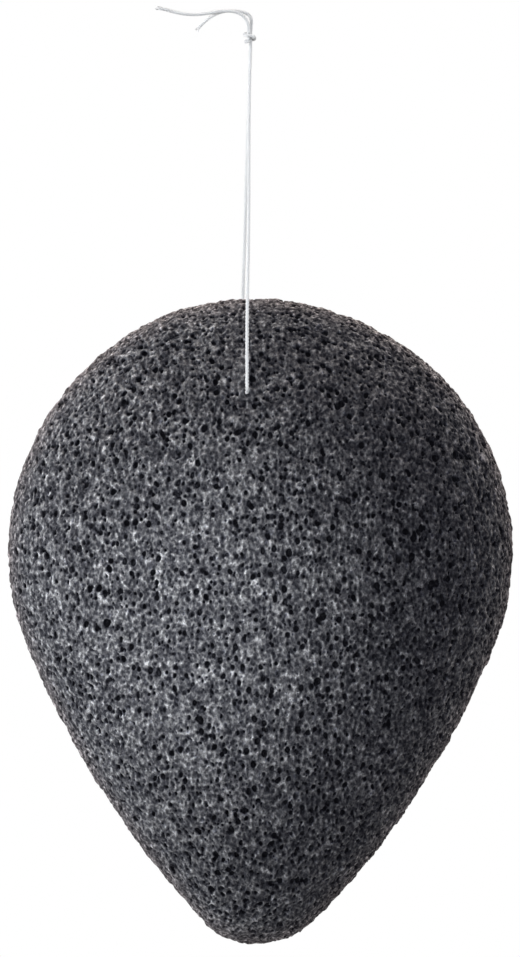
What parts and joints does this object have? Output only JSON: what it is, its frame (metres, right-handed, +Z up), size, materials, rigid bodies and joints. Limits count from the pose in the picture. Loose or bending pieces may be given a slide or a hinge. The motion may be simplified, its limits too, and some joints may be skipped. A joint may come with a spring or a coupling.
{
  "type": "konjac sponge",
  "caption": "Teardrop facial sponge of charcoal-black konjac foam with a domed, finely pitted front, hanging on a knotted loop of thin white thread.",
  "frame": {"origin": "the point inside the top of the thread loop, just below the knot, where a hook carries it", "axes": "+Z up along the loop, -Y out of the domed front face, +X to the right as seen from the front"},
  "size_m": [0.075, 0.029, 0.1395],
  "materials": {
    "konjac_foam": "matt, moist charcoal-black plant-fibre foam with fine open pores",
    "thread": "plain white twisted cotton thread"
  },
  "bodies": {
    "thread": {"thread_through": "thread", "front_strand": "thread", "back_strand": "thread", "knot": "thread", "short_tail": "thread", "long_tail": "thread"},
    "sponge": {"sponge_body": "konjac_foam"}
  },
  "joints": [
    {"name": "sponge_swing", "type": "hinge", "parent": "thread", "child": "sponge", "pos_m": [-0.001, 0, -0.052], "axis": [-0.0416, 0.9991, 0], "range_deg": [-45, 45]}
  ]
}
